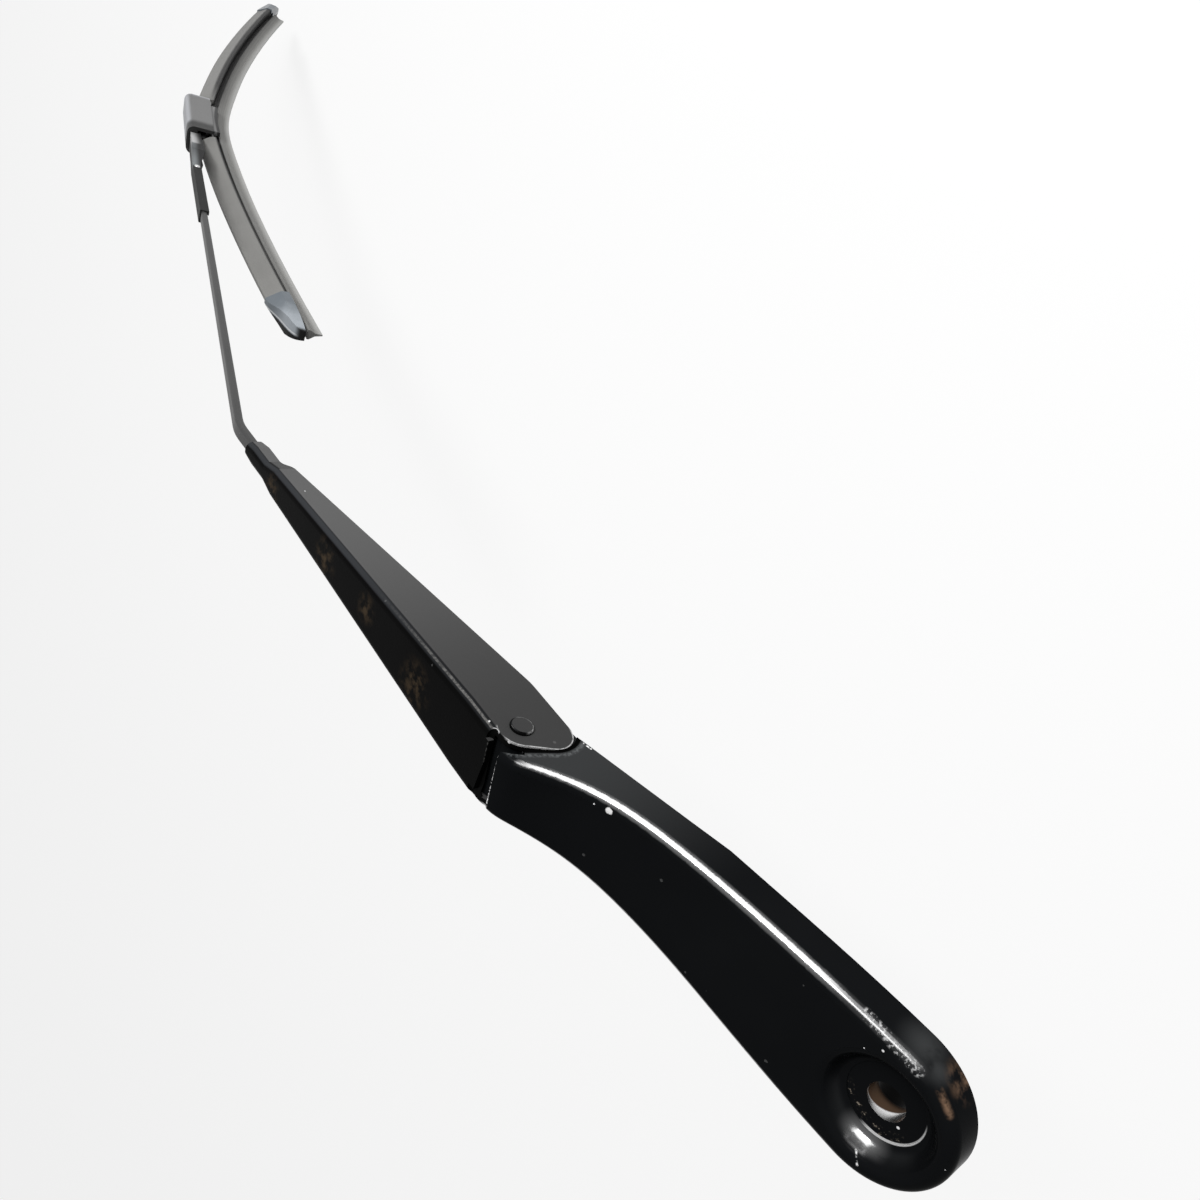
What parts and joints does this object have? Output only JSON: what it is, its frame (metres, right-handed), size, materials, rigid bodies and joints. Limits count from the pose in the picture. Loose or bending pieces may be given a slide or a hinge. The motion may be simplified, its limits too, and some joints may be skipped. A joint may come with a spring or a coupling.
{
  "type": "wiper arm",
  "caption": "Car windscreen wiper arm with a cranked cast head, spring-loaded hinged channel, flat bar and a bowed flat blade on a tilting connector.",
  "frame": {"origin": "on the spindle bore's axis, inside its straight wall", "axes": "+Z along the bore, out of the car; +X along the arm from the spindle towards the blade"},
  "size_m": [0.8501, 0.0888, 0.3315],
  "materials": {
    "head_paint": "gloss, chipped",
    "channel_paint": "satin",
    "bar_paint": "satin",
    "bare_steel": "bare",
    "spring_steel": "bare",
    "housing": "fine grain",
    "spoiler_rubber": "satin",
    "wiping_rubber": "matt",
    "end_plastic": "gloss"
  },
  "bodies": {
    "head": {"arm_head": "head_paint", "hinge_bush": "bare_steel", "spring_anchor_pin": "bare_steel"},
    "link": {"spring_hook": "spring_steel"},
    "arm": {"arm_channel": "channel_paint", "hinge_rivet": "channel_paint", "arm_rod": "bar_paint", "tip_fitting": "bar_paint", "fitting_rivet": "bare_steel", "adapter_cap": "housing"},
    "spring": {"tension_spring": "spring_steel"},
    "button": {"release_button": "housing"},
    "blade": {"connector_base": "housing", "connector_pin": "bare_steel", "spine_rail_left": "spring_steel", "spine_rail_right": "spring_steel", "wiper_rubber": "wiping_rubber", "spoiler_near": "spoiler_rubber", "spoiler_far": "spoiler_rubber", "end_cap_near": "end_plastic", "end_cap_far": "end_plastic"}
  },
  "joints": [
    {"name": "arm_lift", "type": "hinge", "parent": "head", "child": "arm", "pos_m": [0.1075, 0, 0.0142], "axis": [0, -1, 0], "range_deg": [0, 40], "deforming": ["tension_spring"]},
    {"name": "hook_turn", "type": "hinge", "parent": "head", "child": "link", "pos_m": [0.102, 0, 0.0082], "axis": [0, -1, 0], "range_deg": [0, 38]},
    {"name": "spring_turn", "type": "hinge", "parent": "arm", "child": "spring", "pos_m": [0.19896, 0, 0.00871], "axis": [0, -1, 0], "range_deg": [-3, 0]},
    {"name": "blade_tilt", "type": "hinge", "parent": "arm", "child": "blade", "pos_m": [0.59815, -0.01847, -0.13737], "axis": [0.1388, 0.9871, -0.0796], "range_deg": [-10, 0]},
    {"name": "button_press", "type": "slide", "parent": "arm", "child": "button", "axis": [0.9164, -0.1585, -0.3676], "range_m": [0, 0.0015], "stiffness_N_per_m": 200, "springref_m": -0.002}
  ],
  "couplings": [
    {"joint": "hook_turn", "follows": "arm_lift", "ratio": 0.9288},
    {"joint": "spring_turn", "follows": "arm_lift", "ratio": -0.0712}
  ]
}
